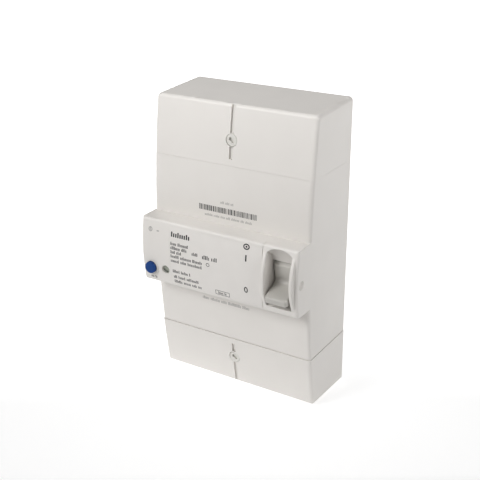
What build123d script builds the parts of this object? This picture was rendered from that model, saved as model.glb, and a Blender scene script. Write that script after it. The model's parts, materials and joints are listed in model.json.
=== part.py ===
from build123d import *
import os
from math import atan2, cos, degrees, hypot, radians, sin, sqrt

os.makedirs("parts", exist_ok=True)

# A four-pole residual current circuit breaker for surface mounting on a panel.
# Frame: X to the right, -Y out of the panel towards the user, +Z up.
# The origin is the centre of the back face, which lies on the panel.
# "depth" is always a distance out of the panel, so a point at depth d has y = -d.

# ---------------------------------------------------------------- driving dimensions (mm)
case_width = 117.0
case_height = 200.6
end_draft = 2.1
crown_depth = 53.0
crown_z = 5.0
crown_radius = 590.0
wall = 2.2
edge_round = 2.4
top_side_round = 2.6
bottom_side_round = 1.0

upper_seam_z = 59.6
lower_seam_z = -62.9
seam_gap = 0.08
lower_cover_proud = 0.5

nose_half_width = 58.5
nose_top_z = 20.5
nose_bottom_z = -24.5
nose_depth = 69.2
nose_mid_z = -2.0
nose_radius = 115.0
nose_round = 1.8
nose_root_depth = 38.0

bay_left_x = 36.6
bay_right_x = 54.1
bay_floor_depth = 57.0
bay_front_depth = 69.0
rim_thickness = 2.6
rim_depth = 72.2
rim_radius = 38.0
dimple_radius = 3.5
dimple_depth = 1.9
slot_top_z = 8.1
slot_bottom_z = -12.2
slot_depth = 60.0

label_left_x = -35.6
label_top_z = 17.6
label_bottom_z = -22.4
label_thickness = 0.6
label_recess = 0.63
label_gap = 0.04

handle_axis_depth = 51.0
handle_axis_z = -2.0
handle_width = 16.2
handle_travel = 52.0
drum_radius = 12.2
shaft_radius = 2.0

crossbar_depth = 26.0
crossbar_z = 12.0
crossbar_radius = 4.0
journal_radius = 2.5
hub_radius = 6.5
drive_pin_orbit = 8.9
drive_pin_radius = 1.5

button_x = -51.1
button_z = -13.7
button_radius = 4.0
button_proud = 2.8
button_collar = 0.4
dial_x = -39.9
dial_z = -13.4
dial_radius = 2.6
dial_recess = 0.9

upper_screw_z = 75.9
lower_screw_z = -77.9
screw_head_radius = 4.0
screw_stem_radius = 1.9
screw_head_gap = 0.15
screw_head_height = 2.0
head_recess = 2.3
sealing_slot_width = 2.6
sealing_slot_depth = 1.2

base_thickness = 3.0
base_half_width = 55.9
base_half_height = 97.4
boss_depth = 29.5
bearing_depth = 33.0
mount_hole_radius = 2.7
mount_pitch_x = 54.0
mount_pitch_z = 180.0
case_screw_x = 50.8
case_screw_heights = (-52.0, 50.0)
cable_window_half = 6.5
cable_window_z = (86.0, 96.6)

pole_pitch = 27.0
pole_count = 4
terminal_z = (66.0, 82.0)
terminal_depth = (11.6, 31.0)
terminal_screw_z = 76.0
cable_bore_radius = 4.25
cable_bore_length = 12.0
cable_depth = 20.0

gap = 0.05
clearance = 0.3

# ---------------------------------------------------------------- worked-out places
half_width = case_width / 2
half_height = case_height / 2
mid_low_z = lower_seam_z + seam_gap / 2
mid_high_z = upper_seam_z - seam_gap / 2
nose_inner_x = nose_half_width - wall
rim_left_x = bay_left_x - rim_thickness
bay_middle_x = (bay_left_x + bay_right_x) / 2
# depth, height at the sides and height in the middle of each section of the finger scoop
scoop_sections = (
    (slot_depth, slot_top_z, slot_top_z + 0.02),
    (63.0, 12.3, 14.4),
    (69.0, 16.6, 20.6),
)
label_right_x = rim_left_x - 0.6
handle_axis = (-handle_axis_depth, handle_axis_z)
crossbar_axis = (-crossbar_depth, crossbar_z)
pole_x = [pole_pitch * (n - (pole_count - 1) / 2) for n in range(pole_count)]


# ---------------------------------------------------------------- shared shapes
def case_depth_at(z):
    """Depth of the gently arched front of the case at height z."""
    return crown_depth - crown_radius + sqrt(crown_radius**2 - (z - crown_z) ** 2)


def nose_depth_at(z):
    """Depth of the curved front of the raised middle band at height z."""
    return nose_depth - nose_radius + sqrt(nose_radius**2 - (z - nose_mid_z) ** 2)


def polar_point(centre, radius, angle):
    """A (y, z) point at an angle measured from -Y (towards the user) up towards +Z."""
    return (centre[0] - radius * cos(radians(angle)), centre[1] + radius * sin(radians(angle)))


def front_plane(depth):
    """A sketch plane parallel to the panel, drawn in (x, z), extruding towards the user."""
    return Plane.XZ.offset(depth)


def block(x_range, depth_range, z_range, mode=Mode.ADD):
    """A block given by its x limits, its depths out of the panel and its z limits."""
    centre = (sum(x_range) / 2, -sum(depth_range) / 2, sum(z_range) / 2)
    size = [abs(limits[1] - limits[0]) for limits in (x_range, depth_range, z_range)]
    with Locations(centre):
        Box(*size, mode=mode)


def rod(plane, centre, radius, length, mode=Mode.ADD):
    """A cylinder standing on a plane."""
    with BuildSketch(plane, mode=Mode.PRIVATE) as outline:
        with Locations(centre):
            Circle(radius)
    extrude(outline.sketch, amount=length, mode=mode)


def rod_along_x(centre, radius, x_range, mode=Mode.ADD):
    """A cylinder across the case, centred on a (y, z) point."""
    rod(Plane.YZ.offset(x_range[0]), centre, radius, x_range[1] - x_range[0], mode)


def rod_along_y(x, z, radius, depth_range, mode=Mode.ADD):
    """A cylinder square to the panel, between two depths."""
    rod(front_plane(depth_range[0]), (x, z), radius, depth_range[1] - depth_range[0], mode)


def rod_along_z(x, depth, radius, z_range, mode=Mode.ADD):
    """An upright cylinder between two heights."""
    rod(Plane.XY.offset(z_range[0]), (x, -depth), radius, z_range[1] - z_range[0], mode)


def case_profile(inset):
    """Side view of the case as a face in (y, z), shrunk by inset on its front and ends."""
    back_end = half_height - inset
    front_end = half_height - end_draft - inset
    back = 0 if inset <= 0 else 1
    top = (-case_depth_at(front_end) + inset, front_end)
    crown = (-crown_depth + inset, crown_z)
    bottom = (-case_depth_at(-front_end) + inset, -front_end)
    with BuildSketch(mode=Mode.PRIVATE) as profile:
        with BuildLine():
            ThreePointArc(bottom, crown, top)
            Polyline(top, (back, back_end), (back, -back_end), bottom)
        make_face()
    return profile.sketch


def nose_profile(inset, root_depth):
    """Side view of the raised middle band as a face in (y, z), shrunk by inset."""
    top_z = nose_top_z - inset
    bottom_z = nose_bottom_z + inset
    top = (-nose_depth_at(top_z) + inset, top_z)
    middle = (-nose_depth + inset, nose_mid_z)
    bottom = (-nose_depth_at(bottom_z) + inset, bottom_z)
    with BuildSketch(mode=Mode.PRIVATE) as profile:
        with BuildLine():
            ThreePointArc(bottom, middle, top)
            Polyline(top, (-root_depth, top_z), (-root_depth, bottom_z), bottom)
        make_face()
    return profile.sketch


def label_profile(front_inset, back_inset, margin):
    """Side view of a thin sheet that follows the front of the raised band."""
    height = label_top_z - label_bottom_z + 2 * margin
    with BuildSketch(mode=Mode.PRIVATE) as profile:
        add(nose_profile(front_inset, nose_root_depth))
        add(nose_profile(back_inset, nose_root_depth - 1), mode=Mode.SUBTRACT)
        with Locations((-nose_depth, (label_top_z + label_bottom_z) / 2)):
            Rectangle(12, height, mode=Mode.INTERSECT)
    return profile.sketch


def bay_profile():
    """Side view of the finger recess round the handle, as a face in (y, z)."""
    low_front = (-bay_front_depth, -20.4)
    high_front = (-bay_front_depth, 16.6)
    slot_low = (-slot_depth + 0.5, slot_bottom_z)
    slot_high = (-slot_depth, slot_top_z)
    slot_back = -bay_floor_depth + 1
    clear_of_rim = -rim_depth - 2
    with BuildSketch(mode=Mode.PRIVATE) as profile:
        with BuildLine():
            ThreePointArc(low_front, (-62.6, -17.4), slot_low)
            Polyline(slot_low, (slot_back, slot_bottom_z), (slot_back, slot_top_z), slot_high)
            ThreePointArc(slot_high, (-63.0, 13.4), high_front)
            Polyline(high_front, (clear_of_rim, 18.0), (clear_of_rim, -22.0), low_front)
        make_face()
    return profile.sketch


def finger_scoop():
    """Arched hollow at the top of the finger recess, widening towards the front of the band."""
    sections = []
    for depth, side_z, middle_z in scoop_sections:
        with BuildSketch(front_plane(depth), mode=Mode.PRIVATE) as section:
            with BuildLine():
                ThreePointArc((bay_left_x, side_z), (bay_middle_x, middle_z), (bay_right_x, side_z))
                Polyline((bay_right_x, side_z), (bay_right_x, 0), (bay_left_x, 0), (bay_left_x, side_z))
            make_face()
        sections.append(section.sketch)
    return loft(sections, mode=Mode.PRIVATE)


def bay_rim(x):
    """One of the two arched rims beside the handle, standing proud of the band."""
    centre = (-rim_depth + rim_radius, nose_mid_z)
    with BuildPart(mode=Mode.PRIVATE) as rim:
        with BuildSketch(Plane.YZ.offset(x)):
            with Locations(centre):
                Circle(rim_radius)
            with Locations((-nose_depth, nose_mid_z)):
                Rectangle(40, nose_top_z - nose_bottom_z - 1.0, mode=Mode.INTERSECT)
        extrude(amount=rim_thickness)
        fillet(rim.edges().filter_by(GeomType.CIRCLE), radius=0.8)
    return rim.part


def side_end_edges(blank, end):
    """The long edges between the sides of the case and one end, 1 for the top and -1 for the bottom."""
    return [
        edge
        for edge in blank.edges()
        if end * edge.center().Z > half_height - 3.5
        and abs(edge.center().X) > half_width - 1
        and edge.length > 20
    ]


def case_blank(side, proud):
    """The whole case outside, as one solid with its front edges rounded."""
    with BuildPart(mode=Mode.PRIVATE) as blank:
        with BuildSketch(Plane.YZ):
            add(case_profile(-proud))
        extrude(amount=side, both=True)
        fillet(blank.faces().sort_by(Axis.Y)[0].edges(), radius=edge_round)
        fillet(side_end_edges(blank, 1), radius=top_side_round)
        fillet(side_end_edges(blank, -1), radius=bottom_side_round)
    return blank.part


def case_hollow():
    """The space inside the case walls."""
    with BuildPart(mode=Mode.PRIVATE) as hollow:
        with BuildSketch(Plane.YZ):
            add(case_profile(wall))
        extrude(amount=half_width - wall, both=True)
    return hollow.part


def beyond(z_range):
    """A block wider and deeper than the case, used to trim a shell at a seam."""
    return ((-half_width - 3, half_width + 3), (-3, rim_depth + 6), z_range)


# ---------------------------------------------------------------- rear base
side_wall_x = base_half_width - 1

with BuildPart() as rear_base:
    block(
        (-base_half_width, base_half_width),
        (0, base_thickness),
        (-base_half_height, base_half_height),
    )
    for x in (-side_wall_x, side_wall_x):
        block((x - 1, x + 1), (base_thickness, 21), (-57.6, 54.4))
        block((x - 1, x + 1), (base_thickness, bearing_depth), (2, 22))
    # walls between the poles, which the crossbar passes through
    for x in (-pole_pitch, 0, pole_pitch):
        block((x - 0.8, x + 0.8), (base_thickness, bearing_depth), (-35, 22))
    rod_along_x(
        crossbar_axis, journal_radius + gap, (-half_width, half_width), mode=Mode.SUBTRACT
    )
    rod_along_x(
        crossbar_axis, crossbar_radius + clearance, (-side_wall_x + 2, side_wall_x - 2), mode=Mode.SUBTRACT
    )
    # terminal shelves, barriers and the bosses that take the cover screws
    for end, screw_z in ((1, upper_screw_z), (-1, lower_screw_z)):
        for x in pole_x:
            block((x - 9, x + 9), (base_thickness, 11.5), (end * terminal_z[0], end * terminal_z[1]))
        for x in (-pole_pitch, pole_pitch):
            block((x - 0.8, x + 0.8), (base_thickness, 36), (end * 64.5, end * 84))
        rod_along_y(0, screw_z, 5, (base_thickness, boss_depth))
        rod_along_y(
            0, screw_z, screw_stem_radius + clearance, (boss_depth - 11, boss_depth + 1), mode=Mode.SUBTRACT
        )
        for x in pole_x:
            block(
                (x - cable_window_half, x + cable_window_half),
                (-1, base_thickness + 1),
                (end * cable_window_z[0], end * cable_window_z[1]),
                mode=Mode.SUBTRACT,
            )
    for x in (-mount_pitch_x / 2, mount_pitch_x / 2):
        for z in (-mount_pitch_z / 2, mount_pitch_z / 2):
            rod_along_y(x, z, mount_hole_radius, (-1, base_thickness + 1), mode=Mode.SUBTRACT)
    # counterbored holes for the screws that hold the front housing
    for x in (-case_screw_x, case_screw_x):
        for z in case_screw_heights:
            rod_along_y(x, z, 1.7, (-1, base_thickness + 1), mode=Mode.SUBTRACT)
            rod_along_y(x, z, 3.2, (-1, 1.6), mode=Mode.SUBTRACT)

rear_base.part.label = "rear_base"
export_step(rear_base.part, "parts/rear_base.step")

# ---------------------------------------------------------------- front housing
with BuildPart() as front_housing:
    add(case_blank(half_width, 0))
    with BuildSketch(Plane.YZ):
        add(nose_profile(0, nose_root_depth))
    extrude(amount=nose_half_width, both=True)
    fillet(front_housing.faces().sort_by(Axis.Y)[0].edges(), radius=nose_round)
    add(bay_rim(rim_left_x))
    add(bay_rim(bay_right_x))
    add(case_hollow(), mode=Mode.SUBTRACT)
    # hollow of the raised band, kept behind the bay floor beside the handle
    with BuildSketch(Plane.YZ.offset(-nose_inner_x)):
        add(nose_profile(wall, nose_root_depth - 1))
    extrude(amount=nose_inner_x + rim_left_x, mode=Mode.SUBTRACT)
    block(
        (rim_left_x - 1, nose_inner_x),
        (nose_root_depth - 1, bay_floor_depth),
        (nose_bottom_z + wall, nose_top_z - wall),
        mode=Mode.SUBTRACT,
    )
    # finger recess, with clearance for the drum of the handle
    with BuildSketch(Plane.YZ.offset(bay_left_x)):
        add(bay_profile())
        with Locations(handle_axis):
            Circle(drum_radius + 0.5)
    extrude(amount=bay_right_x - bay_left_x, mode=Mode.SUBTRACT)
    add(finger_scoop(), mode=Mode.SUBTRACT)
    # recess for the rating label
    with BuildSketch(Plane.YZ.offset(label_left_x - label_gap)):
        add(label_profile(-1.0, label_recess, label_gap))
    extrude(amount=label_right_x - label_left_x + 2 * label_gap, mode=Mode.SUBTRACT)
    # guide tubes and holes for the test button and the rating dial
    rod_along_y(button_x, button_z, button_radius + 1.4, (58, nose_depth_at(button_z) + button_collar))
    rod_along_y(dial_x, dial_z, dial_radius + 1.5, (58, nose_depth_at(dial_z) - 1))
    for x, z, radius in ((button_x, button_z, button_radius), (dial_x, dial_z, dial_radius)):
        rod_along_y(x, z, radius + 2 * gap, (50, nose_depth + 2), mode=Mode.SUBTRACT)
    dial_rim = nose_depth_at(dial_z) - 0.6
    rod_along_y(dial_x, dial_z, dial_radius + 0.5, (dial_rim, nose_depth + 2), mode=Mode.SUBTRACT)
    # end walls towards the terminal compartments, notched for the conductors
    for z_range in ((mid_high_z - 1.8, mid_high_z), (mid_low_z, mid_low_z + 1.8)):
        block((-half_width + 1, half_width - 1), (base_thickness + clearance, 45), z_range)
        for x in pole_x:
            notch_z = (z_range[0] - 1, z_range[1] + 1)
            block((x - 5, x + 5), (0, 20), notch_z, mode=Mode.SUBTRACT)
    # bosses for the screws from the rear base
    for x in (-case_screw_x, case_screw_x):
        for z in case_screw_heights:
            rod_along_y(x, z, 3.0, (base_thickness + 0.2, case_depth_at(z) - wall / 2))
            rod_along_y(x, z, 1.35, (base_thickness, 17), mode=Mode.SUBTRACT)
    # round dimple in the right side of the band
    with Locations((nose_half_width - dimple_depth + dimple_radius, -63.2, -3.2)):
        Sphere(dimple_radius, mode=Mode.SUBTRACT)
    # parting groove of the frame round the handle
    with BuildSketch(Plane.YZ.offset(rim_left_x - 0.35)):
        add(nose_profile(-1.0, nose_root_depth))
        add(nose_profile(0.25, nose_root_depth - 1), mode=Mode.SUBTRACT)
        with Locations((-nose_depth, nose_mid_z)):
            Rectangle(12, 60, mode=Mode.INTERSECT)
    extrude(amount=0.35, mode=Mode.SUBTRACT)
    block(*beyond((mid_high_z, half_height + 5)), mode=Mode.SUBTRACT)
    block(*beyond((-half_height - 5, mid_low_z)), mode=Mode.SUBTRACT)

front_housing.part.label = "front_housing"
export_step(front_housing.part, "parts/front_housing.step")

# ---------------------------------------------------------------- rating label
with BuildPart() as rating_label:
    with BuildSketch(Plane.YZ.offset(label_left_x)):
        add(label_profile(label_recess - label_thickness, label_recess - 0.03, 0))
    extrude(amount=label_right_x - label_left_x)

rating_label.part.label = "rating_label"
export_step(rating_label.part, "parts/rating_label.step")

# ---------------------------------------------------------------- terminal covers and their screws
cover_boss_depth = boss_depth + 0.5


def sealing_slot(z_range, proud=0):
    """A narrow slot of even depth in the middle of a cover front, for a sealing wire."""
    heights = (z_range[0], sum(z_range) / 2, z_range[1])
    floor = [(-case_depth_at(z) - proud + sealing_slot_depth, z) for z in heights]
    with BuildSketch(Plane.YZ.offset(-sealing_slot_width / 2), mode=Mode.PRIVATE) as outline:
        with BuildLine():
            ThreePointArc(*floor)
            Polyline(floor[2], (-crown_depth - 3, heights[2]), (-crown_depth - 3, heights[0]), floor[0])
        make_face()
    extrude(outline.sketch, amount=sealing_slot_width, mode=Mode.SUBTRACT)


def cover_screw_seat(screw_z, front):
    """Boss, stem hole and head recess of a captive cover screw."""
    stem_hole = screw_stem_radius + clearance
    head_hole = screw_head_radius + screw_head_gap
    rod_along_y(0, screw_z, 6, (cover_boss_depth, front - 1))
    rod_along_y(0, screw_z, stem_hole, (cover_boss_depth - 1, front + 1), mode=Mode.SUBTRACT)
    rod_along_y(0, screw_z, head_hole, (front - head_recess, front + 3), mode=Mode.SUBTRACT)


with BuildPart() as upper_terminal_cover:
    add(case_blank(half_width, 0))
    add(case_hollow(), mode=Mode.SUBTRACT)
    block(*beyond((-half_height - 5, upper_seam_z + seam_gap / 2)), mode=Mode.SUBTRACT)
    cover_screw_seat(upper_screw_z, case_depth_at(upper_screw_z))
    sealing_slot((80.3, 97.6))
    sealing_slot((64.0, 71.7))

upper_terminal_cover.part.label = "upper_terminal_cover"
export_step(upper_terminal_cover.part, "parts/upper_terminal_cover.step")

with BuildPart() as lower_terminal_cover:
    add(case_blank(half_width + 0.3, lower_cover_proud))
    add(case_hollow(), mode=Mode.SUBTRACT)
    block(*beyond((lower_seam_z - seam_gap / 2, half_height + 5)), mode=Mode.SUBTRACT)
    cover_screw_seat(lower_screw_z, case_depth_at(lower_screw_z) + lower_cover_proud)
    sealing_slot((-102.0, -82.3), lower_cover_proud)
    sealing_slot((-73.5, -67.1), lower_cover_proud)

lower_terminal_cover.part.label = "lower_terminal_cover"
export_step(lower_terminal_cover.part, "parts/lower_terminal_cover.step")

# name, height, how far the cover stands proud and the angle of the screwdriver slot
cover_screws = (
    ("upper_cover_screw", upper_screw_z, 0, -38),
    ("lower_cover_screw", lower_screw_z, lower_cover_proud, -27),
)

for screw_name, screw_z, proud, slot_angle in cover_screws:
    seat = case_depth_at(screw_z) + proud - head_recess + gap
    with BuildPart() as cover_screw:
        rod_along_y(0, screw_z, screw_head_radius, (seat, seat + screw_head_height))
        fillet(cover_screw.edges().sort_by(Axis.Y)[0], radius=0.4)
        rod_along_y(0, screw_z, screw_stem_radius, (boss_depth - 7, seat))
        with BuildSketch(front_plane(seat + 0.7), mode=Mode.PRIVATE) as driver_slot:
            with Locations(Location((0, screw_z), slot_angle)):
                SlotOverall(4.4, 2.1)
        extrude(driver_slot.sketch, amount=3, mode=Mode.SUBTRACT)
    cover_screw.part.label = screw_name
    export_step(cover_screw.part, f"parts/{screw_name}.step")

# ---------------------------------------------------------------- handle, shaft and spring
handle_low_x = (bay_left_x + bay_right_x - handle_width) / 2
handle_high_x = handle_low_x + handle_width
spring_pocket = 6.0
lip_top = polar_point(handle_axis, 24.0, -24.8)
lip_bottom = polar_point(handle_axis, 26.0, -37.0)
thumb_top = polar_point(handle_axis, drum_radius + 0.1, 38.0)
thumb_low = polar_point(handle_axis, 8.3, -30.3)
root_bottom = polar_point(handle_axis, drum_radius - 0.2, -44.0)
# with the handle halfway, its drive pin lies on the line between the two axes
axes_angle = degrees(atan2(crossbar_z - handle_axis_z, handle_axis_depth - crossbar_depth))
drive_pin = polar_point(handle_axis, drive_pin_orbit, 180 - axes_angle - handle_travel / 2)

with BuildPart() as handle:
    rod_along_x(handle_axis, drum_radius, (handle_low_x, handle_high_x))
    with BuildSketch(Plane.YZ.offset(handle_low_x)):
        with BuildLine():
            ThreePointArc(thumb_low, polar_point(handle_axis, 16.0, -25.6), lip_top)
            Line(lip_top, lip_bottom)
            ThreePointArc(lip_bottom, polar_point(handle_axis, 18.0, -39.0), root_bottom)
            Polyline(root_bottom, handle_axis, thumb_low)
        make_face()
    extrude(amount=handle_width)
    # face under the thumb, cut back from the round of the drum
    with BuildSketch(Plane.YZ.offset(handle_low_x)):
        with BuildLine():
            ThreePointArc(thumb_top, polar_point(handle_axis, 9.2, 8.0), thumb_low)
            ThreePointArc(thumb_low, polar_point(handle_axis, 16.0, -25.6), lip_top)
            Polyline(lip_top, polar_point(handle_axis, 30, 0), thumb_top)
        make_face()
    extrude(amount=handle_width, mode=Mode.SUBTRACT)
    # soft hollow between the drum and the lip
    hollow = [
        edge
        for edge in handle.edges().filter_by(Axis.X)
        if hypot(edge.center().Y - thumb_low[0], edge.center().Z - thumb_low[1]) < 0.5
    ]
    fillet(hollow, radius=3.0)
    # rounded tip
    tip_face = handle.faces().sort_by(Axis.Y)[0]
    fillet(tip_face.edges().filter_by(Axis.X, reverse=True), radius=2.4)
    tip_face = handle.faces().sort_by(Axis.Y)[0]
    fillet(tip_face.edges(), radius=1.7)
    rod_along_x(handle_axis, shaft_radius + gap, (handle_low_x, handle_high_x), mode=Mode.SUBTRACT)
    rod_along_x(handle_axis, 6.5, (handle_high_x - spring_pocket, handle_high_x), mode=Mode.SUBTRACT)
    rod_along_x(drive_pin, drive_pin_radius, (handle_low_x - 3.6, handle_low_x))

handle.part.label = "handle"
export_step(handle.part, "parts/handle.step")

frame_left_x = 30.6
frame_right_x = nose_inner_x - 0.2
frame_sheet = 1.2

with BuildPart() as handle_shaft:
    rod_along_x(handle_axis, shaft_radius, (frame_left_x - 0.8, frame_right_x))

handle_shaft.part.label = "handle_shaft"
export_step(handle_shaft.part, "parts/handle_shaft.step")

spring_wire = 0.8
spring_turns = 4
spring_start_x = handle_high_x - spring_pocket + 0.6

with BuildPart() as handle_spring:
    rod_along_x(handle_axis, 4.2, (spring_start_x, spring_start_x + spring_turns * 1.1))
    for turn in range(spring_turns):
        turn_x = spring_start_x + turn * 1.1
        rod_along_x(handle_axis, 4.6, (turn_x + 0.1, turn_x + 0.1 + spring_wire))
    rod_along_x(handle_axis, 3.2, (spring_start_x - 1, handle_high_x + 1), mode=Mode.SUBTRACT)
    # straight leg hooked behind the right plate of the mechanism frame
    block(
        (handle_high_x - 1.6, frame_right_x - frame_sheet - gap),
        (handle_axis_depth - 4.3, handle_axis_depth - 3.5),
        (handle_axis_z - 0.4, handle_axis_z + 0.4),
    )

handle_spring.part.label = "handle_spring"
export_step(handle_spring.part, "parts/handle_spring.step")

with BuildPart() as mechanism_frame:
    for x in (frame_left_x, frame_right_x - frame_sheet):
        with BuildSketch(Plane.YZ.offset(x)):
            with BuildLine():
                Polyline((-56, -9), (-56, 5), (-48, 17.5), (-36, 17.5), (-36, -16), (-48, -16), close=True)
            make_face()
            with Locations(handle_axis):
                Circle(shaft_radius + 0.02, mode=Mode.SUBTRACT)
        extrude(amount=frame_sheet)
    block((frame_left_x, frame_right_x), (36, 36 + frame_sheet), (-16, -12))

mechanism_frame.part.label = "mechanism_frame"
export_step(mechanism_frame.part, "parts/mechanism_frame.step")

# ---------------------------------------------------------------- crossbar and moving contacts
arm_width = 4.0
arm_thickness = 2.0
arm_length = 27.0
arm_angle = 2.0
fork_x = (handle_low_x - 3.4, handle_low_x - 1.4)
fork_reach = hypot(crossbar_axis[0] - drive_pin[0], crossbar_axis[1] - drive_pin[1])
fork_angle = -degrees(atan2(crossbar_axis[1] - drive_pin[1], crossbar_axis[0] - drive_pin[0]))


def arm_plane(x):
    """Plane across a contact arm, with its local x down the length of the arm."""
    down = (0, sin(radians(arm_angle)), -cos(radians(arm_angle)))
    return Plane(origin=(x, *crossbar_axis), x_dir=down, z_dir=(1, 0, 0))


with BuildPart() as crossbar:
    rod_along_x(crossbar_axis, crossbar_radius, (-side_wall_x + 1.2, side_wall_x - 1.2))
    rod_along_x(crossbar_axis, journal_radius, (-base_half_width + 0.4, base_half_width - 0.4))
    for x in pole_x:
        rod_along_x(crossbar_axis, hub_radius, (x - 6, x + 6))
    # fork that the drive pin of the handle works in
    with BuildSketch(Plane.YZ.offset(fork_x[0])):
        with BuildLine():
            Polyline(
                polar_point(crossbar_axis, 3.4, fork_angle + 80),
                polar_point(crossbar_axis, fork_reach + 3.2, fork_angle + 11),
                polar_point(crossbar_axis, fork_reach + 3.2, fork_angle - 11),
                polar_point(crossbar_axis, 3.4, fork_angle - 80),
                close=True,
            )
        make_face()
        with Locations(Location(drive_pin, 180 - fork_angle)):
            SlotOverall(13, 2 * drive_pin_radius + 0.7, mode=Mode.SUBTRACT)
    extrude(amount=fork_x[1] - fork_x[0])
    # pockets that hold the contact arms
    for x in pole_x:
        with BuildSketch(arm_plane(x - arm_width / 2 - gap)):
            with Locations((4.5, 0)):
                Rectangle(9, arm_thickness + 2 * gap)
        extrude(amount=arm_width + 2 * gap, mode=Mode.SUBTRACT)

crossbar.part.label = "crossbar"
export_step(crossbar.part, "parts/crossbar.step")

for pole, x in enumerate(pole_x, start=1):
    with BuildPart() as contact_arm:
        with BuildSketch(arm_plane(x - arm_width / 2)):
            with Locations((arm_length / 2 + 0.2, 0)):
                Rectangle(arm_length, arm_thickness)
            with Locations((25, arm_thickness / 2 + 0.6)):
                Rectangle(4.0, 1.2)
        extrude(amount=arm_width)
    contact_arm.part.label = f"contact_arm_{pole}"
    export_step(contact_arm.part, f"parts/contact_arm_{pole}.step")

# ---------------------------------------------------------------- fixed contacts and arc chutes
strip_depth = (10.0, 12.0)
contact_bar_z = -9.2
plate_count = 7
plate_pitch = 2.4

for pole, x in enumerate(pole_x, start=1):
    with BuildPart() as fixed_contact:
        block((x - 3.5, x + 3.5), strip_depth, (-38, -5))
        rod_along_x((-strip_depth[1], contact_bar_z), 2.0, (x - 2.5, x + 2.5))
        block((x - 2, x + 2), (base_thickness, strip_depth[0]), (-32, -27))
    fixed_contact.part.label = f"fixed_contact_{pole}"
    export_step(fixed_contact.part, f"parts/fixed_contact_{pole}.step")

    with BuildPart() as arc_chute:
        for side in (-1, 1):
            cheek_x = x + side * 9.2
            block((cheek_x - 0.5, cheek_x + 0.5), (12.8, 30.5), (-35, -19))
        for plate in range(plate_count):
            with BuildSketch(front_plane(14.0 + plate * plate_pitch)):
                with Locations((x, -27)):
                    Rectangle(18, 14)
                with Locations((x, -22)):
                    Triangle(a=8, b=8, c=8, rotation=180, mode=Mode.SUBTRACT)
            extrude(amount=0.9)
    arc_chute.part.label = f"arc_chute_{pole}"
    export_step(arc_chute.part, f"parts/arc_chute_{pole}.step")

# ---------------------------------------------------------------- overload and short-circuit trips
coil_depth = 14.5
coil_turns = 5

for pole, x in enumerate(pole_x, start=1):
    with BuildPart() as trip_coil:
        block((x - 7, x + 7), (5.5, 7.8), (34, 54))
        rod_along_z(x, coil_depth, 5.6, (36, 52))
        for turn in range(coil_turns):
            turn_z = 37 + turn * 2.9
            rod_along_z(x, coil_depth, 7.0, (turn_z, turn_z + 2.3))
        block((x - 3.5, x + 3.5), (12.5, 16.5), (33, 36.5))
        block((x - 3.5, x + 3.5), (12.5, 14.5), (51.5, terminal_z[0]))
    trip_coil.part.label = f"trip_coil_{pole}"
    export_step(trip_coil.part, f"parts/trip_coil_{pole}.step")

    with BuildPart() as bimetal_strip:
        block((x - 3, x + 3), (27.0, 28.2), (24, 52))
        block((x - 4, x + 4), (16.5, 28.2), (28, 30))
        block((x - 4, x + 4), (16.5, 18.0), (24, 35))
    bimetal_strip.part.label = f"bimetal_strip_{pole}"
    export_step(bimetal_strip.part, f"parts/bimetal_strip_{pole}.step")

# ---------------------------------------------------------------- flexible braids from the trips to the arms
with BuildPart() as flexible_braids:
    for x in pole_x:
        with BuildSketch(Plane.YZ.offset(x - 1.5)):
            with BuildLine():
                ThreePointArc((-16.6, 23.95), (-13.4, 9), (-23.6, -3.4))
                Line((-23.6, -3.4), (-24.3, -2.4))
                ThreePointArc((-24.3, -2.4), (-14.8, 9), (-17.8, 23.95))
                Line((-17.8, 23.95), (-16.6, 23.95))
            make_face()
        extrude(amount=3)

flexible_braids.part.label = "flexible_braids"
export_step(flexible_braids.part, "parts/flexible_braids.step")

# ---------------------------------------------------------------- trip bar and latch
trip_bar_axis = (-36.0, 47.0)
trip_bar_radius = 2.5
trip_bar_half = 45.9

with BuildPart() as trip_bar:
    rod_along_x(trip_bar_axis, trip_bar_radius, (-trip_bar_half, trip_bar_half))
    for x in pole_x:
        block((x - 2, x + 2), (29.8, 36), (45.8, 48.2))
        block((x - 2, x + 2), (29.8, 31.2), (38.0, 48.2))
    # long finger down to the relay plunger, and the catch for the latch
    block((-4, 0), (36.0, 38.5), (35.0, 47))
    block((30, 33), (36.5, 46.0), (45.6, 48.4))

trip_bar.part.label = "trip_bar"
export_step(trip_bar.part, "parts/trip_bar.step")

with BuildPart() as trip_bar_brackets:
    for x in (-trip_bar_half + 0.3, trip_bar_half - 1.3):
        with BuildSketch(Plane.YZ.offset(x)):
            with Locations(trip_bar_axis):
                Circle(4.5)
            with Locations((-42.8, 47)):
                Rectangle(11.5, 7)
            with Locations(trip_bar_axis):
                Circle(trip_bar_radius + gap, mode=Mode.SUBTRACT)
        extrude(amount=1.0)

trip_bar_brackets.part.label = "trip_bar_brackets"
export_step(trip_bar_brackets.part, "parts/trip_bar_brackets.step")

latch_axis = (-43.0, 26.0)
latch_pin_radius = 1.5

with BuildPart() as latch_lever:
    with BuildSketch(Plane.YZ.offset(30.2)):
        with Locations(latch_axis):
            Circle(3.4)
        with Locations((latch_axis[0], 34.5)):
            Rectangle(3.0, 17.0)
        with Locations((latch_axis[0] - 0.6, 43.4)):
            Rectangle(4.2, 2.4)
        with Locations(latch_axis):
            Circle(latch_pin_radius + gap, mode=Mode.SUBTRACT)
    extrude(amount=2.4)

latch_lever.part.label = "latch_lever"
export_step(latch_lever.part, "parts/latch_lever.step")

with BuildPart() as latch_pin:
    rod_along_x(latch_axis, latch_pin_radius, (27.5, 35.5))
    block((27.5, 29.0), (41.0, 50.0), (23.8, 28.2))

latch_pin.part.label = "latch_pin"
export_step(latch_pin.part, "parts/latch_pin.step")

# ---------------------------------------------------------------- differential relay
plunger_x = -2.0
plunger_depth = 38.5
plunger_radius = 1.5

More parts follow.
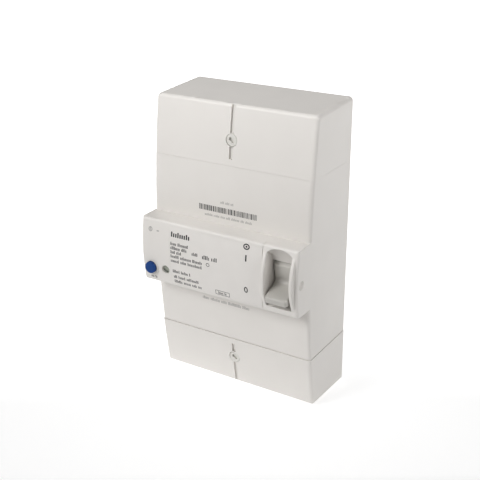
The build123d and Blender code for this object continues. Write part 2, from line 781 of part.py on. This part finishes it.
with BuildPart() as relay_case:
    block((-12, 8), (34.5, 48.0), (21.2, 31.0))
    fillet(relay_case.edges().filter_by(Axis.Y), radius=1.0)
    rod_along_z(plunger_x, plunger_depth, plunger_radius + gap, (25, 32), mode=Mode.SUBTRACT)

relay_case.part.label = "relay_case"
export_step(relay_case.part, "parts/relay_case.step")

with BuildPart() as relay_plunger:
    rod_along_z(plunger_x, plunger_depth, plunger_radius, (25.3, 32.5))

relay_plunger.part.label = "relay_plunger"
export_step(relay_plunger.part, "parts/relay_plunger.step")

# ---------------------------------------------------------------- summation transformer
core_depth = 24.0
core_z = -49.0
core_mean_radius = 13.75
winding_turns = 24

with BuildPart() as toroid_core:
    with BuildSketch(Plane.XY.offset(core_z - 3)):
        with Locations((0, -core_depth)):
            Circle(core_mean_radius + 1.75)
            Circle(core_mean_radius - 1.75, mode=Mode.SUBTRACT)
    extrude(amount=6)

toroid_core.part.label = "toroid_core"
export_step(toroid_core.part, "parts/toroid_core.step")

with BuildPart() as toroid_winding:
    with Locations((0, -core_depth, core_z)):
        with PolarLocations(core_mean_radius, winding_turns):
            Box(5.6, 1.3, 8.2)
            Box(3.7, 1.5, 6.2, mode=Mode.SUBTRACT)

toroid_winding.part.label = "toroid_winding"
export_step(toroid_winding.part, "parts/toroid_winding.step")

# ---------------------------------------------------------------- load conductors through the transformer
conductor_radius = 1.6
bend_radius = 2.2

for pole, x in enumerate(pole_x, start=1):
    side = 1 if x > 0 else -1
    core_x = side * 3.6
    through_depth = core_depth + (3.5 if abs(x) > pole_pitch else -3.5)
    strip_front = -strip_depth[1] - conductor_radius
    route = [
        (x, strip_front, -36.0),
        (x, strip_front, -40.2),
        (core_x, -through_depth, -42.5),
        (core_x, -through_depth, -55.5),
        (x, -16.0, -57.4),
        (x, -16.0, -terminal_z[0]),
    ]
    with BuildPart() as load_conductor:
        with BuildLine():
            centre_line = FilletPolyline(*route, radius=bend_radius)
        with BuildSketch(Plane(origin=route[0], z_dir=(0, 0, -1))):
            Circle(conductor_radius)
        sweep(path=centre_line)
    load_conductor.part.label = f"load_conductor_{pole}"
    export_step(load_conductor.part, f"parts/load_conductor_{pole}.step")

# ---------------------------------------------------------------- terminals and their screws
for end, row in ((1, "line"), (-1, "load")):
    z_near, z_far = (end * height for height in terminal_z)
    for pole, x in enumerate(pole_x, start=1):
        with BuildPart() as terminal:
            block((x - 7, x + 7), terminal_depth, (z_near, z_far))
            fillet(terminal.edges().filter_by(Axis.Z), radius=0.6)
            rod_along_z(
                x,
                cable_depth,
                cable_bore_radius,
                (z_far, z_far - end * cable_bore_length),
                mode=Mode.SUBTRACT,
            )
            rod_along_y(
                x, end * terminal_screw_z, 2.25, (cable_depth, terminal_depth[1] + 1), mode=Mode.SUBTRACT
            )
        terminal.part.label = f"{row}_terminal_{pole}"
        export_step(terminal.part, f"parts/{row}_terminal_{pole}.step")

    with BuildPart() as terminal_screws:
        for x in pole_x:
            screw_z = end * terminal_screw_z
            rod_along_y(x, screw_z, 3.4, (terminal_depth[1] + 0.4, terminal_depth[1] + 3.4))
            rod_along_y(x, screw_z, 2.2, (terminal_depth[1] - 5.5, terminal_depth[1] + 0.4))
            block(
                (x - 4, x + 4),
                (terminal_depth[1] + 2.2, terminal_depth[1] + 4),
                (screw_z - 0.5, screw_z + 0.5),
                mode=Mode.SUBTRACT,
            )
    terminal_screws.part.label = f"{row}_terminal_screws"
    export_step(terminal_screws.part, f"parts/{row}_terminal_screws.step")

# ---------------------------------------------------------------- case screws
with BuildPart() as case_screws:
    for x in (-case_screw_x, case_screw_x):
        for z in case_screw_heights:
            rod_along_y(x, z, 3.0, (0.1, 1.55))
            rod_along_y(x, z, 1.3, (1.55, 15))
            block((x - 1.8, x + 1.8), (0, 0.9), (z - 0.35, z + 0.35), mode=Mode.SUBTRACT)
            block((x - 0.35, x + 0.35), (0, 0.9), (z - 1.8, z + 1.8), mode=Mode.SUBTRACT)

case_screws.part.label = "case_screws"
export_step(case_screws.part, "parts/case_screws.step")

# ---------------------------------------------------------------- test circuit
button_front = nose_depth_at(button_z) + button_proud
stem_end = 53.5

with BuildPart() as test_button:
    rod_along_y(button_x, button_z, button_radius, (56.3, button_front))
    fillet(test_button.edges().sort_by(Axis.Y)[0], radius=0.7)
    block((button_x - 1.5, button_x + 1.5), (56.3, 57.7), (button_z - 5.4, button_z + 5.4))
    rod_along_y(button_x, button_z, 1.5, (stem_end, 56.3))

test_button.part.label = "test_button"
export_step(test_button.part, "parts/test_button.step")

with BuildPart() as test_blade:
    block((button_x - 2.2, button_x + 2.2), (stem_end - 0.8, stem_end - 0.2), (-20, 9))
    block((button_x - 2.2, button_x + 2.2), (46, stem_end - 0.2), (8.4, 9))

test_blade.part.label = "test_blade"
export_step(test_blade.part, "parts/test_blade.step")

with BuildPart() as test_resistor:
    rod_along_z(-44, 45, 2.3, (0, 14))
    rod_along_z(-44, 45, 2.6, (0, 2))
    rod_along_z(-44, 45, 2.6, (12, 14))
    rod_along_z(-44, 45, 0.4, (-5, 18))

test_resistor.part.label = "test_resistor"
export_step(test_resistor.part, "parts/test_resistor.step")

# ---------------------------------------------------------------- rating dial
dial_front = nose_depth_at(dial_z) - dial_recess

with BuildPart() as rating_dial:
    rod_along_y(dial_x, dial_z, dial_radius, (55, dial_front))
    with BuildSketch(front_plane(dial_front - 1.3), mode=Mode.PRIVATE) as driver_slot:
        with Locations(Location((dial_x, dial_z), -22)):
            with Locations((0, -1.1)):
                Rectangle(8, 1.4)
    extrude(driver_slot.sketch, amount=3, mode=Mode.SUBTRACT)
    rod_along_y(dial_x, dial_z, 2.0, (44, 55))
    rod_along_y(dial_x + 1.0, dial_z, 4.6, (50, 52.5))

rating_dial.part.label = "rating_dial"
export_step(rating_dial.part, "parts/rating_dial.step")
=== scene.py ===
import json
import math
import random

import bpy
from mathutils import Matrix, Vector
from mathutils.bvhtree import BVHTree


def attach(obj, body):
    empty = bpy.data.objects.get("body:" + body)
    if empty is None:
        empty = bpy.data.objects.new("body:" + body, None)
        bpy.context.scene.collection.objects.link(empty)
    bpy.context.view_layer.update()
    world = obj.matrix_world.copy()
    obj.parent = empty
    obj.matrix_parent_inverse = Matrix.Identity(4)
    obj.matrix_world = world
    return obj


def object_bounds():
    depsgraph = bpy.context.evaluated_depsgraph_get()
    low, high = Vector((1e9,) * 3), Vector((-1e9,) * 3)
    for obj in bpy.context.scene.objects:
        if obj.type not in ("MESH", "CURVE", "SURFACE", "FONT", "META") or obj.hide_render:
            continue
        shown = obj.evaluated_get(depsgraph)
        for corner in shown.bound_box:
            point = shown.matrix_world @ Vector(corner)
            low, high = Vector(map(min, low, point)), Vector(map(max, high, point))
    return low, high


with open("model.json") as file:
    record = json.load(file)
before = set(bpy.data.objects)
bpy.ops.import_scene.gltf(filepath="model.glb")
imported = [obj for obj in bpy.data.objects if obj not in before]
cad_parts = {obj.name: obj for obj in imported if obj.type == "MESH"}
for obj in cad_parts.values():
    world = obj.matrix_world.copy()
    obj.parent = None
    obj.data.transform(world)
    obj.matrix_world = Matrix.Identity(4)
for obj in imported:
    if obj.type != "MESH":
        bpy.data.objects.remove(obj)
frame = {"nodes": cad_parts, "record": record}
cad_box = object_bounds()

# All lengths are in metres. MM turns a size in millimetres into metres.
MM = 0.001
nodes = frame["nodes"]
slots = {part["node"]: part["material_slot"] for part in frame["record"]["subparts"]}


# ---------------------------------------------------------------- node material helpers
class Graph:
    """A material's node tree, with short calls for the nodes used here."""

    def __init__(self, name):
        self.material = bpy.data.materials.new(name)
        self.material.use_nodes = True
        self.tree = self.material.node_tree
        self.shader = self.tree.nodes["Principled BSDF"]
        self.place = self.add("ShaderNodeTexCoord").outputs["Object"]

    def add(self, kind, **settings):
        node = self.tree.nodes.new(kind)
        for key, value in settings.items():
            setattr(node, key, value)
        return node

    def link(self, output, socket):
        self.tree.links.new(output, socket)

    def feed(self, node, **values):
        """Sets or links the named inputs of a node. An underscore in a name stands for a space."""
        for key, value in values.items():
            socket = node.inputs[key.replace("_", " ")]
            if isinstance(value, bpy.types.NodeSocket):
                self.link(value, socket)
            else:
                socket.default_value = value
        return node

    def noise(self, scale, detail=2.0, roughness=0.5, stretch=None):
        """Noise with its grain given as cycles per metre, from 0 to 1."""
        vector = self.place
        if stretch:
            mapping = self.feed(self.add("ShaderNodeMapping"), Vector=vector, Scale=stretch)
            vector = mapping.outputs["Vector"]
        node = self.add("ShaderNodeTexNoise")
        self.feed(node, Vector=vector, Scale=scale, Detail=detail, Roughness=roughness)
        return node.outputs["Fac"]

    def cells(self, scale):
        """Distance to the nearest of randomly strewn points, for pits and specks."""
        node = self.add("ShaderNodeTexVoronoi")
        self.feed(node, Vector=self.place, Scale=scale)
        return node.outputs["Distance"]

    def remap(self, value, low, high, new_low=0.0, new_high=1.0):
        node = self.add("ShaderNodeMapRange")
        node.inputs["Value"].default_value = 0.0
        self.link(value, node.inputs["Value"])
        limits = {"From Min": low, "From Max": high, "To Min": new_low, "To Max": new_high}
        for key, number in limits.items():
            node.inputs[key].default_value = number
        return node.outputs["Result"]

    def combine(self, operation, first, second):
        node = self.add("ShaderNodeMath", operation=operation)
        for socket, value in zip(node.inputs, (first, second)):
            if isinstance(value, bpy.types.NodeSocket):
                self.link(value, socket)
            else:
                socket.default_value = value
        return node.outputs["Value"]

    def blend(self, factor, first, second):
        """Colour mix, each side a colour or another node's output."""
        node = self.add("ShaderNodeMix", data_type="RGBA")
        self.link(factor, node.inputs["Factor"])
        sides = [socket for socket in node.inputs if socket.type == "RGBA"]
        for socket, value in zip(sides, (first, second)):
            if isinstance(value, bpy.types.NodeSocket):
                self.link(value, socket)
            else:
                socket.default_value = (*value, 1.0)
        return [socket for socket in node.outputs if socket.type == "RGBA"][0]

    def edges(self, radius):
        """1 along convex and concave edges within a radius, 0 on open faces."""
        bevel = self.add("ShaderNodeBevel", samples=6)
        bevel.inputs["Radius"].default_value = radius
        geometry = self.add("ShaderNodeNewGeometry")
        dot = self.add("ShaderNodeVectorMath", operation="DOT_PRODUCT")
        self.link(bevel.outputs["Normal"], dot.inputs[0])
        self.link(geometry.outputs["Normal"], dot.inputs[1])
        return self.remap(dot.outputs["Value"], 0.99, 0.75)

    def crevice_shade_mask(self, distance):
        """1 in corners and gaps, where shade falls, 0 in the open. It is used to paint shade into colours.
        """
        shade = self.add("ShaderNodeAmbientOcclusion", samples=8)
        shade.inputs["Distance"].default_value = distance
        return self.remap(shade.outputs["AO"], 0.85, 0.25)

    def bump(self, height, depth, radius=None):
        """Bumps of the given depth in metres, over edges rounded to a radius."""
        node = self.add("ShaderNodeBump")
        node.inputs["Strength"].default_value = 1.0
        node.inputs["Distance"].default_value = depth
        self.link(height, node.inputs["Height"])
        if radius:
            bevel = self.add("ShaderNodeBevel", samples=6)
            bevel.inputs["Radius"].default_value = radius
            self.link(bevel.outputs["Normal"], node.inputs["Normal"])
        self.link(node.outputs["Normal"], self.shader.inputs["Normal"])


def tinted(colour, amount):
    return tuple(min(1.0, channel * amount) for channel in colour)


def moulded(name, colour, rough, grain=0.012 * MM, crevice_shade_colour=(0.58, 0.56, 0.49), crevice_shade_cover=0.25, gloss=0.45):
    """Injection-moulded plastic: spark-eroded grain, faint flow marks, soft edges, painted shade in the
    corners and gaps.
    """
    edge_radius = 0.25 * MM
    g = Graph(name)
    flow = g.noise(14.0, detail=3.0, stretch=(1.0, 1.0, 0.35))
    ageing = g.noise(55.0, detail=4.0)
    body = g.blend(g.remap(flow, 0.35, 0.7), colour, tinted(colour, 0.965))
    body = g.blend(g.remap(ageing, 0.45, 0.8, 0.0, 0.35), body, tinted(colour, 0.93))
    body = g.blend(g.combine("MULTIPLY", g.edges(edge_radius * 2), 0.35), body, tinted(colour, 1.08))
    # painted shade: the colour darkens in corners and gaps, found by ambient occlusion, in uneven patches
    patches = g.remap(g.noise(240.0), 0.3, 0.7, crevice_shade_cover * 0.3, crevice_shade_cover)
    painted_crevice_shade = g.combine("MULTIPLY", g.crevice_shade_mask(2.5 * MM), patches)
    body = g.blend(painted_crevice_shade, body, crevice_shade_colour)
    g.link(body, g.shader.inputs["Base Color"])
    fine = g.noise(2600.0, detail=2.0, roughness=0.6)
    pits = g.remap(g.cells(1500.0), 0.0, 0.6)
    texture = g.combine("ADD", fine, g.combine("MULTIPLY", pits, 0.5))
    polish = g.combine("MULTIPLY", g.edges(edge_radius * 3), -0.08)
    smudges = g.remap(g.noise(38.0, detail=5.0), 0.35, 0.75, rough - 0.05, rough + 0.07)
    g.link(g.combine("ADD", smudges, polish), g.shader.inputs["Roughness"])
    g.shader.inputs["Specular IOR Level"].default_value = gloss
    g.bump(texture, grain, edge_radius)
    return g.material


def printed_film(name, colour):
    """Matt printed film of the rating label, with faint fibres and rubbed spots."""
    g = Graph(name)
    mottle = g.remap(g.noise(90.0, detail=5.0), 0.35, 0.75)
    body = g.blend(mottle, colour, tinted(colour, 0.965))
    rub = g.remap(g.noise(22.0, detail=3.0), 0.55, 0.8, 0.0, 0.5)
    body = g.blend(rub, body, tinted(colour, 1.03))
    g.link(body, g.shader.inputs["Base Color"])
    g.link(g.remap(g.noise(60.0, detail=4.0), 0.3, 0.7, 0.42, 0.55), g.shader.inputs["Roughness"])
    g.bump(g.noise(3200.0, detail=1.0), 0.004 * MM, 0.08 * MM)
    return g.material


def print_ink(name, colour, rough):
    """Printing ink, a little uneven in its coverage."""
    g = Graph(name)
    cover = g.remap(g.noise(900.0, detail=3.0), 0.3, 0.75)
    g.link(g.blend(cover, colour, tinted(colour, 1.5)), g.shader.inputs["Base Color"])
    g.link(g.remap(g.noise(400.0), 0.3, 0.7, rough - 0.06, rough + 0.06), g.shader.inputs["Roughness"])
    g.bump(g.noise(2500.0), 0.003 * MM)
    return g.material


def metal(name, colour, rough, brushed=(1.0, 1.0, 14.0), tarnish=0.8, depth=0.006 * MM):
    """Cut, drawn or plated metal: fine drawing lines, cloudy tarnish, brighter rubbed edges."""
    g = Graph(name)
    lines = g.noise(420.0, detail=4.0, stretch=brushed)
    clouds = g.remap(g.noise(75.0, detail=5.0), 0.35, 0.75)
    body = g.blend(clouds, colour, tinted(colour, tarnish))
    body = g.blend(g.combine("MULTIPLY", g.edges(0.3 * MM), 0.5), body, tinted(colour, 1.15))
    # painted shade: the metal darkens in its corners and gaps, found by ambient occlusion
    body = g.blend(g.combine("MULTIPLY", g.crevice_shade_mask(1.5 * MM), 0.45), body, tinted(colour, 0.35))
    g.link(body, g.shader.inputs["Base Color"])
    g.shader.inputs["Metallic"].default_value = 1.0
    g.link(g.remap(lines, 0.3, 0.7, rough - 0.08, rough + 0.12), g.shader.inputs["Roughness"])
    g.bump(lines, depth, 0.1 * MM)
    return g.material


def matt_solid(name, colour, rough, speck, depth=0.02 * MM):
    """Thermoset, ceramic or ferrite: dense, speckled and slightly rough."""
    g = Graph(name)
    specks = g.remap(g.cells(900.0), 0.05, 0.35)
    body = g.blend(specks, speck, colour)
    body = g.blend(g.remap(g.noise(60.0, detail=4.0), 0.4, 0.75, 0.0, 0.6), body, tinted(colour, 0.85))
    body = g.blend(g.combine("MULTIPLY", g.edges(0.3 * MM), 0.4), body, tinted(speck, 1.1))
    g.link(body, g.shader.inputs["Base Color"])
    grain = g.remap(g.noise(300.0, detail=3.0), 0.3, 0.7, rough - 0.07, rough + 0.08)
    g.link(grain, g.shader.inputs["Roughness"])
    g.bump(g.noise(1800.0, detail=3.0), depth, 0.15 * MM)
    return g.material


# ---------------------------------------------------------------- materials of the CAD nodes
case_white = (0.725, 0.698, 0.665)
# each plastic's darker corner colour paints shade into its corners and gaps
finishes = {
    "case_plastic": moulded("case_plastic", case_white, 0.46),
    "base_plastic": moulded("base_plastic", (0.60, 0.58, 0.55), 0.52, grain=0.02 * MM),
    "label_film": printed_film("label_film", (0.73, 0.703, 0.673)),
    "handle_plastic": moulded("handle_plastic", (0.50, 0.484, 0.45), 0.45, crevice_shade_colour=(0.26, 0.25, 0.225)),
    # the button takes its near-black navy at full cover, painted shade on the wall round its base
    "button_plastic": moulded(
        "button_plastic",
        (0.004, 0.046, 0.205),
        0.5,
        grain=0.006 * MM,
        crevice_shade_colour=(0.003, 0.01, 0.04),
        crevice_shade_cover=1.0,
        gloss=0.2,
    ),
    "dial_plastic": moulded("dial_plastic", (0.28, 0.295, 0.25), 0.45, crevice_shade_colour=(0.05, 0.05, 0.04)),
    "cover_screw_plastic": moulded("cover_screw_plastic", (0.68, 0.665, 0.625), 0.42),
    "zinc_steel": metal("zinc_steel", (0.62, 0.63, 0.64), 0.34),
    "spring_steel": metal("spring_steel", (0.50, 0.51, 0.53), 0.26, brushed=(12.0, 1.0, 1.0)),
    "thermoset": matt_solid("thermoset", (0.035, 0.028, 0.024), 0.5, (0.10, 0.075, 0.055)),
    "relay_plastic": moulded("relay_plastic", (0.02, 0.02, 0.022), 0.35, crevice_shade_colour=(0.06, 0.055, 0.05)),
    "copper": metal("copper", (0.86, 0.42, 0.25), 0.32, tarnish=0.6),
    "bimetal": metal("bimetal", (0.56, 0.50, 0.42), 0.30, tarnish=0.75),
    "brass": metal("brass", (0.84, 0.63, 0.28), 0.30, tarnish=0.7),
    "core_alloy": metal("core_alloy", (0.28, 0.28, 0.30), 0.42, brushed=(1.0, 1.0, 30.0)),
    "plunger_steel": metal("plunger_steel", (0.66, 0.67, 0.69), 0.16),
    "resistor_ceramic": matt_solid("resistor_ceramic", (0.58, 0.53, 0.42), 0.6, (0.30, 0.27, 0.22)),
}
for node_name, node in nodes.items():
    for material_slot in node.material_slots:
        material_slot.material = finishes[slots[node_name]]


# ---------------------------------------------------------------- printed marks
black_ink = print_ink("black_ink", (0.012, 0.012, 0.013), 0.45)
grey_ink = print_ink("grey_ink", (0.30, 0.29, 0.28), 0.5)
# how far a mark stands over the surface, and how far its sides go down into it
ink_thickness = 0.02 * MM
ink_root = 0.03 * MM


def surface_of(*names):
    """Finds the front of some CAD nodes: a function of x and z that gives y."""
    corners = []
    faces = []
    for name in names:
        mesh = nodes[name].data
        start = len(corners)
        corners += [vertex.co.copy() for vertex in mesh.vertices]
        faces += [[start + index for index in face.vertices] for face in mesh.polygons]
    tree = BVHTree.FromPolygons(corners, faces)
    start_y = cad_box[0][1] - 50 * MM

    def depth_at(x, z):
        hit = tree.ray_cast(Vector((x, start_y, z)), Vector((0, 1, 0)))
        return hit[0].y

    return depth_at


class Print:
    """Collects flat marks, laid on a curved front and drawn in millimetres as (x, z)."""

    def __init__(self, surface):
        self.surface = surface
        self.corners = []
        self.faces = []

    def patch(self, outline):
        """One raised mark: its top follows the surface, its sides go down into it."""
        top = len(self.corners)
        for lift in (-ink_root, ink_thickness):
            for x, z in outline:
                x, z = x * MM, z * MM
                self.corners.append((x, self.surface(x, z) + lift, z))
        count = len(outline)
        self.faces.append([top + n for n in range(count)])
        self.faces.append([top + count + n for n in reversed(range(count))])
        for n in range(count):
            after = (n + 1) % count
            self.faces.append([top + after, top + n, top + count + n, top + count + after])

    def bar(self, x_low, x_high, z_low, z_high):
        self.patch([(x_low, z_low), (x_high, z_low), (x_high, z_high), (x_low, z_high)])

    def ring(self, x, z, half_width, half_height, stroke, steps=28):
        """A closed oval line, laid as short patches."""
        for n in range(steps):
            turns = [2 * math.pi * (n + part) / steps for part in (0, 1)]
            outer = [(x + half_width * math.cos(t), z + half_height * math.sin(t)) for t in turns]
            inner = [
                (x + (half_width - stroke) * math.cos(t), z + (half_height - stroke) * math.sin(t))
                for t in reversed(turns)
            ]
            self.patch(outer + inner)

    def disc(self, x, z, half_width, half_height, steps=28):
        turns = [2 * math.pi * n / steps for n in range(steps)]
        self.patch([(x + half_width * math.cos(t), z + half_height * math.sin(t)) for t in turns])

    def frame(self, x_low, x_high, z_low, z_high, stroke):
        self.bar(x_low, x_high, z_low, z_low + stroke)
        self.bar(x_low, x_high, z_high - stroke, z_high)
        self.bar(x_low, x_low + stroke, z_low + stroke, z_high - stroke)
        self.bar(x_high - stroke, x_high, z_low + stroke, z_high - stroke)

    def greeked(self, x_low, x_high, z, height, draw):
        """A row of blank strokes in word-like groups, standing for a line of print."""
        x = x_low
        left_in_word = draw.randint(3, 8)
        while x < x_high:
            stroke = height * draw.uniform(0.2, 0.28)
            rise = height if draw.random() < 0.3 else height * 0.72
            if x + stroke > x_high:
                break
            self.bar(x, x + stroke, z, z + rise)
            x += stroke + height * draw.uniform(0.15, 0.22)
            left_in_word -= 1
            if left_in_word == 0:
                x += height * 0.45
                left_in_word = draw.randint(4, 12)

    def finish(self, name, material):
        mesh = bpy.data.meshes.new(name)
        mesh.from_pydata(self.corners, [], self.faces)
        mesh.validate()
        mesh.update()
        mesh.materials.append(material)
        piece = bpy.data.objects.new(name, mesh)
        bpy.context.scene.collection.objects.link(piece)
        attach(piece, "case")
        return piece


band_front = surface_of("rating_label", "front_housing")
case_front = surface_of("front_housing")
draw = random.Random(7)

# bold marks on the band: a row of plain blocks, the marks I and 0 of the handle, a ringed dot
bold = Print(band_front)
block_width, block_pitch, block_foot = 1.05, 1.66, 11.3
x = -34.7
for rise in (3.4, 2.5, 2.5, 3.4, 2.5, 2.5, 2.5, 3.4, 2.5):
    bold.bar(x, x + block_width, block_foot, block_foot + rise)
    x += block_pitch
bold.greeked(-10.2, 2.6, 1.2, 2.7, draw)
bold.bar(21.75, 22.75, 6.8, 11.0)
bold.ring(22.2, -12.7, 1.4, 2.1, 0.75)
bold.ring(22.2, 16.3, 2.35, 1.95, 0.8)
bold.disc(22.2, 16.3, 0.7, 0.6)
bold.greeked(-52.6, -47.9, -21.8, 1.9, draw)
bold.finish("label_bold_print", black_ink)

# small rows of print on the rating label: where each starts, ends and stands
small = Print(band_front)
row_height = 2.2
small_rows = (
    (-34.9, -20.8, 5.6),
    (-34.9, -22.2, 2.7),
    (-34.9, -26.2, -0.2),
    (-34.9, -10.2, -3.2),
    (-34.9, -10.4, -6.3),
    (-34.0, -20.0, -13.9),
    (-33.6, -13.4, -17.9),
    (-33.4, -11.6, -21.4),
    (-18.2, -12.4, 1.8),
)
for x_low, x_high, z in small_rows:
    small.greeked(x_low, x_high, z, row_height, draw)
small.ring(-6.0, -2.0, 1.3, 1.3, 0.35)
small.frame(-1.2, 9.4, -21.8, -18.6, 0.3)
small.greeked(1.0, 7.4, -21.1, 1.8, draw)
small.finish("label_small_print", black_ink)

# faint symbols at the left end of the band
symbols = Print(band_front)
symbols.ring(-51.2, 13.2, 1.5, 1.7, 0.6)
symbols.bar(-51.5, -50.9, 12.2, 14.2)
symbols.bar(-46.2, -44.4, 12.5, 13.3)
symbols.finish("band_symbols", grey_ink)

# a strip of plain bars on the housing above the band, with faint rows of print round it
strip = Print(case_front)
strip_left, strip_right = -22.8, 21.0
strip_low, strip_high = 27.9, 31.6
x = strip_left
while x < strip_right:
    width = draw.choice((0.3, 0.42, 0.6, 0.75))
    strip.bar(x, x + width, strip_low, strip_high)
    x += width + draw.choice((0.42, 0.55, 0.75))
strip.finish("housing_bar_strip", black_ink)

faint = Print(case_front)
faint.greeked(-6.6, 3.6, 34.2, 1.7, draw)
faint.greeked(-18.4, 17.2, 24.4, 1.7, draw)
faint.greeked(-22.4, 14.2, -37.0, 2.2, draw)
faint.finish("housing_faint_print", grey_ink)


# ---------------------------------------------------------------- where the camera stands
camera_azimuth = math.radians(31.95)
camera_elevation = math.radians(22.76)
camera_roll = math.radians(-0.42)
camera_distance = 608.3 * MM
camera_aim = Vector((-9.1, -25.0, -1.3)) * MM

# ---------------------------------------------------------------- floor
# how strongly the paper glows: each ramp runs between two distances beyond the middle of the object,
# counted away from the camera and negative towards it, and between two strengths
glow_ramps = (
    (-0.22, -0.14, 0.0, 0.6),
    (-0.06, 0.06, 0.0, 0.5),
    (0.12, 1.2, 0.0, 0.4),
    (-0.9, -0.35, 0.6, 0.0),
)
floor_reach = 4.0


def pale_floor():
    """A wide sheet of pale paper under the object, with a glow of its own."""
    low_z = cad_box[0][2]
    mesh = bpy.data.meshes.new("floor")
    corners = [(x, y, low_z) for x, y in ((-1, -1), (1, -1), (1, 1), (-1, 1))]
    corners = [(x * floor_reach, y * floor_reach, z) for x, y, z in corners]
    mesh.from_pydata(corners, [], [(0, 1, 2, 3)])
    floor = bpy.data.objects.new("floor", mesh)
    bpy.context.scene.collection.objects.link(floor)
    g = Graph("floor_paper")
    paper = g.remap(g.noise(3.0, detail=2.0), 0.3, 0.7)
    g.link(g.blend(paper, (0.62, 0.62, 0.62), (0.60, 0.60, 0.60)), g.shader.inputs["Base Color"])
    g.shader.inputs["Roughness"].default_value = 0.9
    away = g.add("ShaderNodeVectorMath", operation="DOT_PRODUCT")
    g.link(g.place, away.inputs[0])
    away.inputs[1].default_value = (-math.sin(camera_azimuth), math.cos(camera_azimuth), 0.0)
    glow = 0.0
    for near, far, near_strength, far_strength in glow_ramps:
        ramp = g.remap(away.outputs["Value"], near, far, near_strength, far_strength)
        glow = g.combine("ADD", ramp, glow)
    g.shader.inputs["Emission Color"].default_value = (1.0, 1.0, 1.0, 1.0)
    g.link(glow, g.shader.inputs["Emission Strength"])
    mesh.materials.append(g.material)


pale_floor()


# ---------------------------------------------------------------- light and camera
def softbox(name, position, aim, width, power, spread=180.0):
    """A square area light. A small spread, in degrees, keeps its light on what it is aimed at."""
    light = bpy.data.lights.new(name, "AREA")
    light.spread = math.radians(spread)
    light.shape = "SQUARE"
    light.size = width
    light.energy = power
    lamp = bpy.data.objects.new(name, light)
    lamp.location = position
    lamp.rotation_euler = (Vector(aim) - Vector(position)).to_track_quat("-Z", "Y").to_euler()
    bpy.context.scene.collection.objects.link(lamp)


# the key and side lights are aimed over the top of the object, so that they fade down its height
centre = (Vector(cad_box[0]) + Vector(cad_box[1])) / 2
high_front = Vector((-0.01, -0.05, 0.2))
high_right = Vector((0.06, -0.03, 0.2))
softbox("key_light", (-0.35, -0.75, 0.55), high_front, 0.4, 0.92, 60.0)
softbox("side_light", (0.75, -0.15, 0.55), high_right, 0.4, 0.4, 50.0)
softbox("top_light", (0.2, 0.3, 1.2), centre, 0.8, 1.1)

world = bpy.data.worlds.new("studio")
world.use_nodes = True
world.node_tree.nodes["Background"].inputs["Color"].default_value = (1.0, 1.0, 1.0, 1.0)
world.node_tree.nodes["Background"].inputs["Strength"].default_value = 0.2
bpy.context.scene.world = world
bpy.context.scene.view_settings.view_transform = "Standard"

camera_data = bpy.data.cameras.new("camera")
camera_data.sensor_width = 36.0
camera_data.lens = 67.46
camera_data.clip_start = 0.01
camera = bpy.data.objects.new("camera", camera_data)
back = Vector(
    (
        math.sin(camera_azimuth) * math.cos(camera_elevation),
        -math.cos(camera_azimuth) * math.cos(camera_elevation),
        math.sin(camera_elevation),
    )
)
right = Vector((math.cos(camera_azimuth), math.sin(camera_azimuth), 0.0))
turn = Matrix((right, back.cross(right), back)).transposed()
turn = turn @ Matrix.Rotation(camera_roll, 3, "Z")
camera.matrix_world = Matrix.Translation(camera_aim + back * camera_distance) @ turn.to_4x4()
bpy.context.scene.collection.objects.link(camera)
bpy.context.scene.camera = camera
